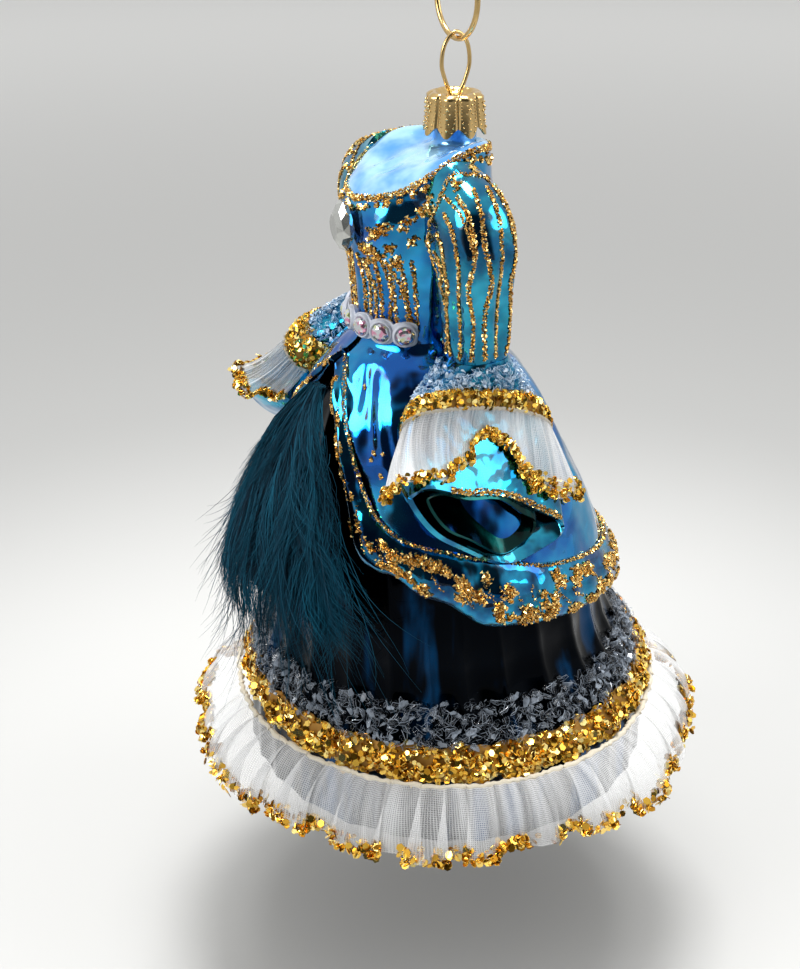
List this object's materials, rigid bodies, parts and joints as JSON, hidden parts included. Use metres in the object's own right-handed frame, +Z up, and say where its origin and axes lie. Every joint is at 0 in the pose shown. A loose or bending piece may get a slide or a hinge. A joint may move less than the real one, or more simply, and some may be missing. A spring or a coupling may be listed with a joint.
{
  "type": "royal gown hanging ornament",
  "caption": "Blown-glass royal gown ornament with an open-front overskirt, bell cuffs, organza ruffles, sequin trims, a feather plume and a cap with a hanging ring.",
  "frame": {"origin": "inside top of the hanging ring, where a hook holds it", "axes": "+Z up along the line the ornament hangs on, -Y towards the front of the gown, +X towards the left sleeve"},
  "size_m": [0.1338, 0.1348, 0.1905],
  "materials": {
    "cyan_glass": "gloss metallic lacquer",
    "navy_glass": "gloss lacquer",
    "pale_glass": "gloss metallic lacquer",
    "organza": "sheer",
    "gold_sequins": "metallic foil",
    "clear_shards": "clear",
    "crystal": "clear cut",
    "milky_resin": "satin",
    "gold_metal": "gloss",
    "feather": "matt"
  },
  "bodies": {
    "root": {"underskirt": "navy_glass", "overskirt_left": "cyan_glass", "overskirt_right": "cyan_glass", "drape_border_left": "cyan_glass", "drape_border_right": "cyan_glass", "bodice_front": "cyan_glass", "bodice_back": "cyan_glass", "neck_dome": "pale_glass", "sleeve_left": "cyan_glass", "sleeve_right": "cyan_glass", "bell_cuff_left": "cyan_glass", "bell_cuff_right": "cyan_glass", "cuff_frost_left": "clear_shards", "cuff_frost_right": "clear_shards", "cuff_band_left": "gold_sequins", "cuff_band_right": "gold_sequins", "cuff_ruffle_left": "organza", "cuff_ruffle_right": "organza", "hem_frost": "clear_shards", "hem_band": "gold_sequins", "hem_ruffle": "organza", "belt_strip": "milky_resin", "belt_stone_1": "crystal", "belt_stone_2": "crystal", "belt_stone_3": "crystal", "belt_stone_4": "crystal", "belt_stone_5": "crystal", "belt_stone_6": "crystal", "brooch": "crystal", "cap": "gold_metal", "wire_loop": "gold_metal", "hanging_ring": "gold_metal", "plume": "feather"}
  },
  "joints": []
}
